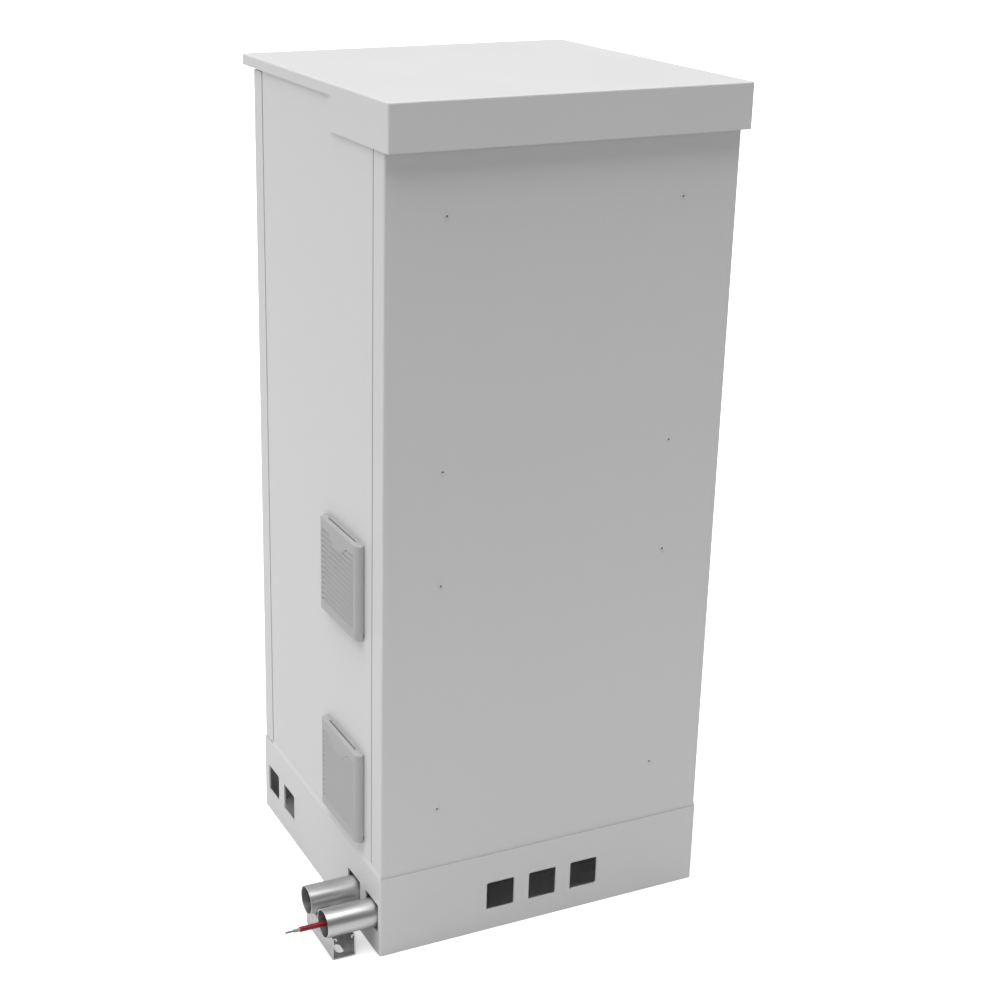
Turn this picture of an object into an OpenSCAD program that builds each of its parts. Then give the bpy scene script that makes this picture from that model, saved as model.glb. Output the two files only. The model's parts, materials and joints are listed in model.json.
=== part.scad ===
// Roadside utility cabinet on a plinth, with rain hood, side filters, door and cable conduits.
// Frame: origin on the ground at the middle of the floor bolts, +Z up, +Y to the rear, +X to the filter side.

/* [Body] */
// Width of the body across its side panels
body_w = 600; // [540:10:760]
// Depth of the body from the rear panel to the closed door
body_d = 540; // [500:10:700]
// Height of the body above the plinth
body_h = 1243; // [1200:1:1400]
// Thickness of the folded sheet
sheet = 2; // [1.5:0.25:2.5]
// Inside radius of the folds
bend_in = 1; // [1:0.25:3]
// Width of the inward joining flanges
flange_w = 20; // [18:1:24]
// Depth of the rear panel's wrapped edges
rear_wrap = 38.5; // [36:0.5:44]
// Thickness of the sealing strip between side and rear panels
strip_t = 1.5; // [1:0.5:2]

/* [Plinth] */
// Height of the plinth
plinth_h = 145; // [125:5:180]
// Amount by which the plinth stands proud of the body
plinth_proud = 2; // [0:0.5:4]
// Thickness of the plinth plate
plinth_t = 3; // [2.5:0.5:4]
// Width of the flange on the floor
floor_flange_w = 50; // [46:1:60]
// Distance of a floor bolt from the plinth's outside faces
floor_bolt_inset = 27; // [22:1:30]
// Diameter of the floor bolt holes
floor_hole_d = 14; // [12:1:18]
// Width of the ledge that carries the body
ledge_w = 40; // [38:1:46]
// Width and height of a cable opening
opening_w = 52; // [46:1:54]
// Corner radius of a cable opening
opening_r = 3; // [2:0.5:6]
// Distance of the first side opening from the plinth's front
opening_front = 48; // [44:1:60]
// Spacing of the two side openings near the front
front_pitch = 79; // [72:1:90]
// Spacing of the three openings in the rear
rear_pitch = 80; // [72:1:100]
// Height of the rear openings' middle above the ground
rear_opening_z = 64; // [50:1:80]

/* [Rain hood] */
// Overhang of the hood at the sides
hood_side = 4; // [3.5:0.5:8]
// Overhang of the hood at the front
hood_front = 43; // [40:1:60]
// Overhang of the hood at the rear
hood_rear = 21; // [14:1:40]
// Height of the lip at the front and sides
hood_lip = 18; // [16:1:22]
// Height of the skirt at the rear
hood_skirt = 72; // [50:1:110]
// Length of the skirt's cheeks along the sides
cheek_len = 219; // [120:1:300]
// Width of the hem folded in under the rear skirt
hem_w = 12; // [8:1:13]
// Space between the body's top edge and the hood
hood_space = 12; // [10:1:13]

/* [Door] */
// Depth of the door pan
door_depth = 38; // [34:1:44]
// Gap between the closed door and the body
door_gap = 2; // [1.5:0.5:4]
// Gap above and below the door
door_end_gap = 3; // [2:0.5:5]
// Width of the door's rear rim
door_rim = 12; // [8:1:14]
// Border of the front frame beside the door opening
frame_border = 40; // [36:1:46]
// Height of the door seal above the door sheet
seal_t = 12; // [8:1:14]
// Width of the door seal
seal_w = 14; // [10:1:16]
// Height of one hinge
hinge_h = 80; // [60:2:110]
// Radius of the hinge knuckles
knuckle_r = 6; // [5:0.5:7]
// Diameter of the hinge pins
hinge_pin_d = 6; // [5:0.5:7]
// Thickness of the hinge leaves
leaf_t = 4; // [3:0.5:5]
// Width of the hinge leaves
leaf_w = 30; // [24:1:32]
// Distance of the end hinges from the ends of the door
hinge_inset = 110; // [80:5:200]

/* [Handle] */
// Distance of the spindle from the body's side face
spindle_inset = 78; // [74:1:86]
// Diameter of the spindle
spindle_d = 16; // [12:1:16]
// Length of the lever from the spindle
lever_len = 115; // [90:1:140]
// Reach of the latch cam from the spindle
cam_reach = 54; // [50:1:58]
// Width of the handle plate
handle_plate_w = 40; // [36:1:50]
// Height of the handle plate
handle_plate_h = 130; // [100:2:160]

/* [Filter units] */
// Width and height of a filter cover
filter_w = 160; // [150:1:170]
// Amount by which a filter cover stands proud of the panel
filter_proud = 14; // [13:0.5:18]
// Width and height of the hole in the panel
cutout_w = 131; // [126:1:134]
// Distance of the filters' middle from the rear face
filter_from_rear = 148; // [140:1:200]
// Height of the upper filter's middle above the plinth
upper_filter_h = 478; // [400:1:700]
// Height of the lower filter's middle above the plinth
lower_filter_h = 111.5; // [105:0.5:160]
// Spacing of the louvre blades
blade_pitch = 9.2; // [8.5:0.1:12]
// Thickness of a louvre blade
blade_t = 1.6; // [1.2:0.2:2.4]
// Wall thickness of the moulded covers
cover_wall = 1.8; // [1.5:0.1:2.2]
// Width and height of the fan
fan_w = 119; // [115:1:120]
// Depth of the fan
fan_t = 38; // [36:1:40]

/* [Mounting plates] */
// Distance between the plate screws across the width
plate_pitch_x = 402; // [340:2:440]
// Distance between the plate screws in height
plate_pitch_z = 394; // [340:2:410]
// Height of the lowest plate screws above the plinth
plate_first_h = 109; // [100:1:150]
// Distance between the nearest screws of the two plates
plate_gap_z = 189; // [100:1:220]
// Thickness of a mounting plate
plate_t = 2.5; // [2:0.5:4]
// Distance of a mounting plate from the rear panel
plate_stand = 16; // [12:1:18]

/* [Conduits and cable] */
// Outside diameter of a conduit
conduit_d = 48.3; // [40:0.1:50]
// Wall thickness of a conduit
conduit_t = 1.6; // [1.4:0.1:3]
// Distance of the rear conduit from the plinth's rear
conduit_rear = 35; // [32:1:40]
// Spacing of the two conduits
conduit_pitch = 75; // [70:1:90]
// Length of conduit outside the plinth
conduit_out = 86.5; // [82:0.5:140]
// Length of conduit inside the plinth
conduit_in = 99; // [70:1:120]
// Height and width of the slotted channel
channel_w = 41; // [38:1:42]
// Length of the slotted channel
channel_len = 116; // [110:1:220]
// Distance of the slotted channel from the plinth
channel_out = 34.5; // [30:0.5:38]
// Diameter of the cable's sheath
sheath_d = 9; // [7:0.5:9]
// Diameter of the cable's insulation
insulation_d = 6; // [5:0.5:6]
// Diameter of the cable's bare core
core_d = 3; // [2:0.5:4]
// Length of sheath outside the conduit
sheath_out = 41; // [20:1:80]
// Length of insulation outside the sheath
insulation_out = 10.5; // [5:0.5:20]
// Length of core outside the insulation
core_out = 14; // [5:0.5:30]

/* [Hidden] */
$fn = 48;
eps = 0.01;

// Clearances
run_gap = 0.05;
slide_gap = 0.3;
hole_gap = 0.3;

// Main planes of the body
bend_r = bend_in + sheet;
half_w = body_w / 2;
y_front = -body_d / 2;
y_rear = body_d / 2;
z_body = plinth_h;
z_top = plinth_h + body_h;
y_door_back = y_front + door_depth;
y_shell = y_door_back + door_gap;
y_seam = y_rear - rear_wrap;
y_side_end = y_seam - strip_t;
pan_depth = flange_w + sheet;
flange_mid = sheet + flange_w / 2;
strip_recess = 1;

// Plinth and its openings
plinth_x = half_w + plinth_proud;
plinth_y = y_rear + plinth_proud;
opening_mid_z = channel_w + opening_w / 2;
front_openings = [-plinth_y + opening_front, -plinth_y + opening_front + front_pitch];
conduit_ys = [plinth_y - conduit_rear - conduit_pitch, plinth_y - conduit_rear];
side_openings = concat(front_openings, conduit_ys);
ledge_lap = 6;
ledge_front = y_shell + sheet + pan_depth + ledge_lap;
plinth_r = bend_in + plinth_t;
floor_bolt_x = plinth_x - floor_bolt_inset;
floor_bolt_y = plinth_y - floor_bolt_inset;

// Hood
hood_x = half_w + hood_side;
hood_y0 = y_front - hood_front;
hood_y1 = y_rear + hood_rear;
hood_z = z_top + hood_space + sheet;
stud_inset_x = 80;
stud_inset_y = 90;
stud_x = half_w - stud_inset_x;
stud_y = y_rear - stud_inset_y;
stud_r = 4;
top_plate_t = sheet;
spacer_r = 12;
stud_len = 24;

// Front frame and door
frame_y = y_shell + sheet;
door_z0 = z_body + door_end_gap;
door_z1 = hood_z - hood_lip - door_end_gap;
mouth_x = half_w - frame_border;
mouth_z0 = z_body + frame_border + sheet;
mouth_z1 = z_top - frame_border - sheet - door_end_gap;
seal_face = y_front + sheet + seal_t;
lip_end = seal_face + slide_gap;
lip_mid = sheet / 2;

// Hinges
hinge_x = -half_w - knuckle_r - 1;
hinge_y = y_shell - door_gap / 2;
hinge_zs = [door_z0 + hinge_inset, (door_z0 + door_z1) / 2, door_z1 - hinge_inset];
pin_r = hinge_pin_d / 2;
leaf_gap = 1.5;
pin_short = 2;

// Handle and latch
spindle_x = half_w - spindle_inset;
spindle_z = z_body + body_h / 2;
spindle_r = spindle_d / 2;
handle_plate_t = 6;
shank_r = spindle_r + 3;
shank_len = 20;
handle_nut_t = 8;
handle_nut_r = 17;
hub_r = 15;
hub_t = 15;
lever_r = 9;
lever_t = 10;
lever_stand = 5;
barrel_r = 8;
barrel_depth = 8;
barrel_proud = 2;
key_w = 2;
key_h = 9;
key_depth = 4;
cam_t = 4.5;
cam_gap = 0.4;
cam_y = frame_y + sheet + cam_gap;
cam_tail_r = 13;
cam_tip_r = 9;
square_w = 8;
square_back = 1;
cam_nut_t = 5;
cam_nut_r = 9;

// Fasteners: M6 for panels and plates, M8 for the hood, M10 for the plinth
m6_r = 3;
m6_head_r = 5.8;
m6_head_h = 4;
m6_nut_h = 5;
m8_nut_h = 6.5;
m8_nut_r = 7.5;
m10_r = 5;
m10_head_r = 9.2;
m10_head_h = 6.4;
m10_nut_h = 8;
bolt_tail = 2;
seam_inset = 105;
seam_count = 4;
seam_pitch = (body_h - 2 * seam_inset) / (seam_count - 1);
seam_bolt_zs = [for (i = [0 : seam_count - 1]) z_body + seam_inset + i * seam_pitch];
side_bolt_y = 140;
end_bolt_x = 140;

// Filter units, in their own frame: x out of the panel, origin on the panel's face
filter_y = y_rear - filter_from_rear;
filter_zs = [z_body + lower_filter_h, z_body + upper_filter_h];
filter_half = filter_w / 2;
base_t = 2.5;
cover_x0 = base_t + slide_gap;
cover_edge = 0.2;
cover_side_r = filter_proud - cover_x0 - cover_edge;
cover_top_r = cover_side_r - cover_wall;
base_inset = 1;
base_corner_r = 4;
collar_gap = 0.5;
collar_half = cutout_w / 2 - collar_gap;
collar_corner_r = 2;
collar_t = 3;
collar_depth = 22;
grid_t = 2;
grid_bar = 2.5;
grid_pitch = 24;
gusset = 11;
clip_w = 10;
clip_h = 2.5;
clip_len = 8;
clip_y = 35;
pivot_x = 6.2;
pivot_up = 4.4;
pivot_z = -filter_half + pivot_up;
trunnion_r = 1.5;
ear_r = 2.2;
ear_w = 5;
ear_y = 50;
cheek_w = 2.4;
cheek_gap = 0.5;
cheek_top = 3.2;
cheek_back = 0.4;
pin_half = ear_w / 2 + cheek_gap + cheek_w / 2;
notch_over = 3;
base_over = 5.2;
base_low = pivot_z + base_over;
window_side = 14;
window_head = 17;
window_y = filter_half - window_side;
window_z0 = -filter_half + window_side;
window_z1 = filter_half - window_head;
tongue_drop = 13;
tongue_top = 34;
tongue_low = 14;
tongue_gap = 1.6;
blade_run = 5;
blade_proud = 0.4;
blade_lap = 1.8;
rib_y = 24;
rib_t = 1.6;
rib_depth = 2.4;
blade_first = 0.3;
finger_y = 55;
finger_depth = 2.6;
mat_gap = 0.3;
mat_front = 3;

// Fan, behind the lower filter
fan_wall = 2.5;
fan_r = fan_w / 2 - fan_wall;
fan_x1 = -collar_depth;
fan_x0 = fan_x1 - fan_t;
fan_hole_pitch = 105;
fan_corner_r = 4;
fan_screw_r = 2;
motor_r = 29;
motor_len = 18;
strut_w = 6;
strut_t = 4;
strut_back = 1;
strut_count = 3;
strut_first = 20;
blade_count = 7;
blade_angle = 35;
blade_chord = 24;
blade_curve_r = 30;
fan_blade_t = 1.8;
tip_gap = 1.2;
hub_wall = 4;
hub_cap = 3;
blade_root = 2;
impeller_gap = 1;
impeller_len = 15;
impeller_x0 = fan_x0 + motor_len + impeller_gap;
shaft_r = 3;
shaft_len = 10;
shaft_short = 0.5;
guard_t = 2;
guard_w = 2.2;
guard_rings = [18, 35, 52];
eye_r = 4.5;
fan_head_h = 2.5;
fan_head_r = 3.8;

// Mounting plates
plate_edge = 19;
plate_corner_r = 6;
plate_half_x = plate_pitch_x / 2 + plate_edge;
plate_zs = [z_body + plate_first_h, z_body + plate_first_h + plate_pitch_z + plate_gap_z];
plate_y1 = y_rear - sheet - plate_stand;
plate_y0 = plate_y1 - plate_t;
plate_spacer_r = 7;
plate_hole_pitch = 300;
plate_screw_head_r = 4.5;
plate_screw_head_h = 1.2;
socket_r = 2.3;
socket_depth = 3.5;

// Conduits, channel and cable
conduit_r = conduit_d / 2;
conduit_z = channel_w + conduit_r + run_gap;
conduit_x1 = plinth_x + conduit_out;
conduit_x0 = plinth_x - plinth_t - conduit_in;
channel_t = 2.5;
channel_lip = 8;
channel_curl = 7;
channel_in_r = 0.5;
channel_over = 13.5;
channel_x0 = plinth_x + channel_out;
channel_y1 = conduit_ys[1] + channel_over;
slot_w = 14;
slot_len = 28;
slot_pitch = 50;
slot_first = 26;
sheath_r = sheath_d / 2;
insulation_r = insulation_d / 2;
core_r = core_d / 2;
cable_bend_r = 50;
cable_free = 50;
cable_cross = 10;
cable_rise = 70;
cable_turn_x = conduit_x0 - cable_free - cable_bend_r;
cable_up_y = conduit_ys[1] - 2 * cable_bend_r - cable_cross;
cable_top = z_body + cable_rise;
bung_len = 30;
bung_rim = 4;

// Base plate, glands and earth bar
base_plate_t = sheet;
base_plate_z = z_body + sheet;
base_plate_top = base_plate_z + base_plate_t;
base_plate_gap = 0.5;
gland_r = 10;
gland_hex_r = 13;
gland_hex_h = 8;
gland_cap_r = 11.5;
gland_cap_h = 14;
gland_thread = 9;
gland_nut_h = 5;
plug_r = 16;
plug_rim_r = 20;
plug_rim_t = 3;
plug_depth = 6;
plug_count = 3;
plug_first = 150;
plug_pitch = 70;
plug_from_rear = 210;
plug_xs = [for (i = [0 : plug_count - 1]) plug_first - half_w + i * plug_pitch];
plug_y = y_rear - plug_from_rear;
earth_from_side = 130;
earth_from_rear = 80;
earth_x = earth_from_side - half_w;
earth_y = y_rear - earth_from_rear;
earth_len = 140;
earth_w = 20;
earth_t = 5;
earth_post_r = 7;
earth_post_h = 20;
earth_stud = 8;
earth_end = earth_len / 2 - earth_w / 2;
earth_screw_count = 5;

// Finishes, as light grey paint, zinc, steel, plastics and rubber
paint = [0.80, 0.81, 0.81];
zinc = [0.66, 0.67, 0.68];
plastic = [0.66, 0.67, 0.66];
black = [0.12, 0.12, 0.13];
rubber = [0.08, 0.08, 0.08];

// Box between two opposite corners
module box(low, high) {
    translate(low) cube(high - low);
}

// Rectangle between two corners, with rounded corners
module round_rect(low, high, r) {
    translate([low.x + r, low.y]) square([high.x - low.x - 2 * r, high.y - low.y]);
    translate([low.x, low.y + r]) square([high.x - low.x, high.y - low.y - 2 * r]);
    for (x = [low.x + r, high.x - r], y = [low.y + r, high.y - r]) {
        translate([x, y]) circle(r);
    }
}

// Rectangle whose two corners on the high x side are rounded
module nose_rect(low, high, r) {
    intersection() {
        round_rect([low.x - 2 * r, low.y], high, r);
        translate(low) square(high - low);
    }
}

// Outline in X-Y, raised from z0 to z1
module raise_z(z0, z1) {
    translate([0, 0, z0]) linear_extrude(z1 - z0) children();
}

// Outline in X-Z, drawn out from y0 to y1
module draw_y(y0, y1) {
    translate([0, y1, 0]) rotate([90, 0, 0]) linear_extrude(y1 - y0) children();
}

// Outline in Y-Z, drawn out from x0 to x1
module draw_x(x0, x1) {
    translate([x0, 0, 0]) rotate([90, 0, 90]) linear_extrude(x1 - x0) children();
}

// Round bar along X, Y or Z
module bar_x(x0, x1, r) {
    translate([x0, 0, 0]) rotate([0, 90, 0]) cylinder(h = x1 - x0, r = r);
}
module bar_y(y0, y1, r) {
    translate([0, y1, 0]) rotate([90, 0, 0]) cylinder(h = y1 - y0, r = r);
}
module bar_z(z0, z1, r) {
    translate([0, 0, z0]) cylinder(h = z1 - z0, r = r);
}

// Hexagon along Y or Z, r to its corners
module hex_y(y0, y1, r) {
    translate([0, y1, 0]) rotate([90, 0, 0]) cylinder(h = y1 - y0, r = r, $fn = 6);
}
module hex_z(z0, z1, r) {
    translate([0, 0, z0]) cylinder(h = z1 - z0, r = r, $fn = 6);
}

// Places children at every combination of +-x and +-y
module four_corners(x, y) {
    for (sx = [-1, 1], sy = [-1, 1]) {
        translate([sx * x, sy * y, 0]) children();
    }
}

// Places children at each bolt that ties the body to the plinth, and the same in the top plate
module rim_bolts() {
    for (sx = [-1, 1], sy = [-1, 1]) {
        translate([sx * (half_w - flange_mid), sy * side_bolt_y, 0]) children();
    }
    for (sx = [-1, 1]) {
        translate([sx * end_bolt_x, y_rear - flange_mid, 0]) children();
        translate([sx * end_bolt_x, frame_y + flange_mid, 0]) children();
    }
}

// Holes of those bolts in the flanges at the body's bottom and top
module rim_holes() {
    rim_bolts() {
        bar_z(z_body - eps, z_body + sheet + eps, m10_r + hole_gap);
        bar_z(z_top - sheet - eps, z_top + eps, m6_r + hole_gap);
    }
}

// Places children at each bolt of one upright row of the body's seams, at the flanges' middle
module seam_points(sides) {
    for (sx = sides, z = seam_bolt_zs) {
        translate([sx * (half_w - flange_mid), 0, z]) children();
    }
}

// Places children at each screw of the two mounting plates, on the Y axis
module plate_points() {
    for (z0 = plate_zs, z = [0, plate_pitch_z], sx = [-1, 1]) {
        translate([sx * plate_pitch_x / 2, 0, z0 + z]) children();
    }
}

// Plinth

module opening_shape() {
    round_rect([-opening_w / 2, -opening_w / 2], [opening_w / 2, opening_w / 2], opening_r);
}

module plinth() {
    color(paint) difference() {
        raise_z(0, plinth_h) round_rect([-plinth_x, -plinth_y], [plinth_x, plinth_y], plinth_r);
        raise_z(plinth_t, plinth_h - plinth_t) round_rect(
            [-plinth_x + plinth_t, -plinth_y + plinth_t],
            [plinth_x - plinth_t, plinth_y - plinth_t], bend_in);
        box([-plinth_x + floor_flange_w, -plinth_y + floor_flange_w, -eps],
            [plinth_x - floor_flange_w, plinth_y - floor_flange_w, plinth_t + eps]);
        box([-plinth_x + ledge_w, ledge_front, plinth_h - plinth_t - eps],
            [plinth_x - ledge_w, plinth_y - ledge_w, plinth_h + eps]);
        four_corners(floor_bolt_x, floor_bolt_y) bar_z(-eps, plinth_t + eps, floor_hole_d / 2);
        for (x = [-rear_pitch, 0, rear_pitch]) {
            draw_y(plinth_y - plinth_t - eps, plinth_y + eps) translate([x, rear_opening_z]) opening_shape();
        }
        for (side = [0, 1], y = side_openings) {
            mirror([side, 0, 0]) draw_x(plinth_x - plinth_t - eps, plinth_x + eps)
                translate([y, opening_mid_z]) opening_shape();
        }
        rim_bolts() bar_z(plinth_h - plinth_t - eps, plinth_h + eps, m10_r + hole_gap);
    }
}

// Body panels

module rear_panel() {
    color(paint) difference() {
        raise_z(z_body, z_top) rotate(90) nose_rect([y_seam, -half_w], [y_rear, half_w], bend_r);
        raise_z(z_body + sheet, z_top - sheet) rotate(90)
            nose_rect([y_seam + sheet, -half_w + sheet], [y_rear - sheet, half_w - sheet], bend_in);
        box([-half_w + pan_depth, y_seam - eps, z_body + sheet],
            [half_w - pan_depth, y_seam + sheet + eps, z_top - sheet]);
        box([-half_w + pan_depth, y_seam - eps, z_body - eps],
            [half_w - pan_depth, y_rear - pan_depth, z_top + eps]);
        rim_holes();
        seam_points([-1, 1]) bar_y(y_seam - eps, y_seam + sheet + eps, m6_r + hole_gap);
        plate_points() bar_y(y_rear - sheet - eps, y_rear + eps, m6_r + hole_gap);
    }
}

// Folded side panel at +X, flanged on all four edges
module side_pan() {
    difference() {
        raise_z(z_body, z_top) nose_rect([half_w - pan_depth, y_shell], [half_w, y_side_end], bend_r);
        raise_z(z_body + sheet, z_top - sheet) nose_rect(
            [half_w - pan_depth - eps, y_shell + sheet], [half_w - sheet, y_side_end - sheet], bend_in);
        rim_holes();
        seam_points([1]) bar_y(y_shell - eps, y_side_end + eps, m6_r + hole_gap);
    }
}

module left_panel() {
    color(paint) mirror([1, 0, 0]) side_pan();
}

module right_panel() {
    color(paint) difference() {
        side_pan();
        for (z = filter_zs) {
            draw_x(half_w - sheet - eps, half_w + eps) translate([filter_y, z])
                square(cutout_w, center = true);
        }
    }
}

module seam_strips() {
    color(rubber) for (side = [0, 1]) {
        mirror([side, 0, 0]) difference() {
            box([half_w - pan_depth + sheet, y_side_end, z_body + sheet],
                [half_w - strip_recess, y_seam, z_top - sheet]);
            seam_points([1]) bar_y(y_side_end - eps, y_seam + eps, m6_r + hole_gap);
        }
    }
}

module top_plate() {
    color(paint) difference() {
        box([-half_w + sheet, y_shell + sheet, z_top], [half_w - sheet, y_rear - sheet, z_top + top_plate_t]);
        rim_bolts() bar_z(z_top - eps, z_top + top_plate_t + eps, m6_r + hole_gap);
        four_corners(stud_x, stud_y) bar_z(z_top - eps, z_top + top_plate_t + eps, stud_r + hole_gap);
    }
}

module base_plate() {
    color(zinc) difference() {
        box([-half_w + sheet + base_plate_gap, frame_y + sheet, base_plate_z],
            [half_w - sheet - base_plate_gap, y_rear - sheet - base_plate_gap, base_plate_top]);
        for (side = [0, 1]) {
            mirror([side, 0, 0]) box(
                [half_w - pan_depth - base_plate_gap, y_side_end - pan_depth, base_plate_z - eps],
                [half_w, y_rear, base_plate_top + eps]);
        }
        rim_bolts() bar_z(base_plate_z - eps, base_plate_top + eps, m10_r + hole_gap);
        raise_z(base_plate_z - eps, base_plate_top + eps) {
            translate([cable_turn_x, cable_up_y]) circle(gland_r + hole_gap);
            for (x = plug_xs) {
                translate([x, plug_y]) circle(plug_r + hole_gap);
            }
            for (sx = [-1, 1]) {
                translate([earth_x + sx * earth_end, earth_y]) circle(m6_r);
            }
        }
    }
}

module front_frame() {
    // Plate edge, clear of the fillets inside the side panels' folds
    plate_x = half_w - sheet - bend_in - slide_gap;
    color(paint) difference() {
        union() {
            box([-plate_x, frame_y, z_body + sheet], [plate_x, frame_y + sheet, z_top - sheet]);
            for (z = [z_body, z_top - sheet]) {
                box([-half_w + pan_depth + slide_gap, frame_y, z],
                    [half_w - pan_depth - slide_gap, frame_y + pan_depth, z + sheet]);
            }
            box([-mouth_x - sheet, lip_end, mouth_z0 - sheet],
                [mouth_x + sheet, frame_y + sheet, mouth_z1 + sheet]);
        }
        box([-mouth_x, lip_end - eps, mouth_z0], [mouth_x, frame_y + sheet + eps, mouth_z1]);
        rim_holes();
        seam_points([-1, 1]) bar_y(frame_y - eps, frame_y + sheet + eps, m6_r + hole_gap);
    }
}

// Rain hood

// Closed block of the hood grown by g on its walls and top, down to z0
module hood_block(g, z0) {
    r = bend_r + g;
    intersection() {
        raise_z(z0, hood_z + g) round_rect([-hood_x - g, hood_y0 - g], [hood_x + g, hood_y1 + g], r);
        draw_y(hood_y0 - g, hood_y1 + g) round_rect([-hood_x - g, z0 - 2 * r], [hood_x + g, hood_z + g], r);
        draw_x(-hood_x - g, hood_x + g) round_rect([hood_y0 - g, z0 - 2 * r], [hood_y1 + g, hood_z + g], r);
    }
}

module hood() {
    skirt_z = hood_z - hood_skirt;
    lip_z = hood_z - hood_lip;
    color(paint) {
        difference() {
            hood_block(0, skirt_z);
            hood_block(-sheet, skirt_z - eps);
            box([-hood_x - eps, hood_y0 - eps, skirt_z - eps], [hood_x + eps, hood_y1 - cheek_len, lip_z]);
        }
        box([-hood_x + sheet, hood_y1 - hem_w, skirt_z], [hood_x - sheet, hood_y1 - sheet, skirt_z + sheet]);
        four_corners(stud_x, stud_y) bar_z(hood_z - sheet - stud_len, hood_z - sheet + eps, stud_r);
    }
}

module hood_spacers() {
    color(zinc) four_corners(stud_x, stud_y) difference() {
        bar_z(z_top + top_plate_t, hood_z - sheet, spacer_r);
        bar_z(z_top + top_plate_t - eps, hood_z - sheet + eps, stud_r + run_gap);
    }
}

module hood_nuts() {
    color(zinc) four_corners(stud_x, stud_y) difference() {
        hex_z(z_top - m8_nut_h, z_top, m8_nut_r);
        bar_z(z_top - m8_nut_h - eps, z_top + eps, stud_r + run_gap);
    }
}

// Bolts of the body

module rear_seam_bolts() {
    color(zinc) seam_points([-1, 1]) {
        hex_y(y_side_end - sheet - m6_head_h, y_side_end - sheet, m6_head_r);
        bar_y(y_side_end - sheet - eps, y_seam + sheet + m6_nut_h + bolt_tail, m6_r);
        hex_y(y_seam + sheet, y_seam + sheet + m6_nut_h, m6_head_r);
    }
}

module front_frame_bolts() {
    color(zinc) seam_points([-1, 1]) {
        hex_y(frame_y + sheet, frame_y + sheet + m6_head_h, m6_head_r);
        bar_y(y_shell, frame_y + sheet + eps, m6_r);
    }
}

module top_plate_bolts() {
    color(zinc) rim_bolts() {
        hex_z(z_top + top_plate_t, z_top + top_plate_t + m6_head_h, m6_head_r);
        bar_z(z_top - sheet - m6_nut_h - bolt_tail, z_top + top_plate_t + eps, m6_r);
        hex_z(z_top - sheet - m6_nut_h, z_top - sheet, m6_head_r);
    }
}

module plinth_bolts() {
    color(zinc) rim_bolts() {
        hex_z(base_plate_top, base_plate_top + m10_head_h, m10_head_r);
        bar_z(plinth_h - plinth_t - m10_nut_h - bolt_tail, base_plate_top + eps, m10_r);
        hex_z(plinth_h - plinth_t - m10_nut_h, plinth_h - plinth_t, m10_head_r);
    }
}

// Door

// Closed block of the door shrunk by g, open at the rear by reach
module door_block(g, reach) {
    r = bend_r - g;
    low_z = door_z0 + g;
    high_z = door_z1 - g;
    back = y_door_back + reach;
    intersection() {
        raise_z(low_z, high_z) rotate(-90)
            nose_rect([-back, -half_w + g], [-y_front - g, half_w - g], r);
        draw_x(-half_w + g, half_w - g) mirror([1, 0])
            nose_rect([-back, low_z], [-y_front - g, high_z], r);
    }
}

module door() {
    color(paint) difference() {
        door_block(0, 0);
        door_block(sheet, -sheet);
        box([-half_w + sheet + door_rim, y_door_back - sheet - eps, door_z0 + sheet + door_rim],
            [half_w - sheet - door_rim, y_door_back + eps, door_z1 - sheet - door_rim]);
        translate([spindle_x, 0, spindle_z]) bar_y(y_front - eps, y_front + sheet + eps, shank_r + run_gap);
    }
}

module door_seal() {
    s = seal_w / 2;
    color(rubber) draw_y(y_front + sheet, seal_face) difference() {
        round_rect([-mouth_x - lip_mid - s, mouth_z0 - lip_mid - s],
                   [mouth_x + lip_mid + s, mouth_z1 + lip_mid + s], s);
        round_rect([-mouth_x - lip_mid + s, mouth_z0 - lip_mid + s],
                   [mouth_x + lip_mid - s, mouth_z1 + lip_mid - s], s / 2);
    }
}

// Half hinge: a knuckle with a flat leaf along Y, on one side of the pin
module hinge_leaf(z0, z1, side, bore_gap) {
    difference() {
        raise_z(z0, z1) {
            translate([hinge_x, hinge_y]) circle(knuckle_r);
            y_near = hinge_y + side * leaf_gap;
            y_far = y_near + side * leaf_w;
            translate([-half_w - leaf_t, min(y_near, y_far)]) square([leaf_t, leaf_w]);
        }
        translate([hinge_x, hinge_y, 0]) bar_z(z0 - eps, z1 + eps, pin_r + bore_gap);
    }
}

module hinge_frame_leaves() {
    color(zinc) for (z = hinge_zs) {
        hinge_leaf(z - hinge_h / 2, z - slide_gap / 2, 1, run_gap / 2);
    }
}

module hinge_door_leaves() {
    color(zinc) for (z = hinge_zs) {
        hinge_leaf(z + slide_gap / 2, z + hinge_h / 2, -1, run_gap);
    }
}

module hinge_pins() {
    color(zinc) for (z = hinge_zs) {
        translate([hinge_x, hinge_y, 0]) bar_z(z - hinge_h / 2, z + hinge_h / 2 - pin_short, pin_r);
    }
}

// Handle and latch, on the Y axis through the spindle
module at_spindle() {
    translate([spindle_x, 0, spindle_z]) children();
}

module handle_plate() {
    plate_front = y_front - handle_plate_t;
    half = handle_plate_w / 2;
    color(black) at_spindle() difference() {
        union() {
            draw_y(plate_front, y_front) round_rect(
                [-half, half - handle_plate_h], [half, half], half - eps);
            bar_y(y_front - eps, y_front + shank_len, shank_r);
        }
        bar_y(plate_front - eps, y_front + shank_len + eps, spindle_r + run_gap);
    }
}

module handle_nut() {
    y0 = y_front + sheet;
    color(zinc) at_spindle() difference() {
        hex_y(y0, y0 + handle_nut_t, handle_nut_r);
        bar_y(y0 - eps, y0 + handle_nut_t + eps, shank_r + run_gap);
    }
}

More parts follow.
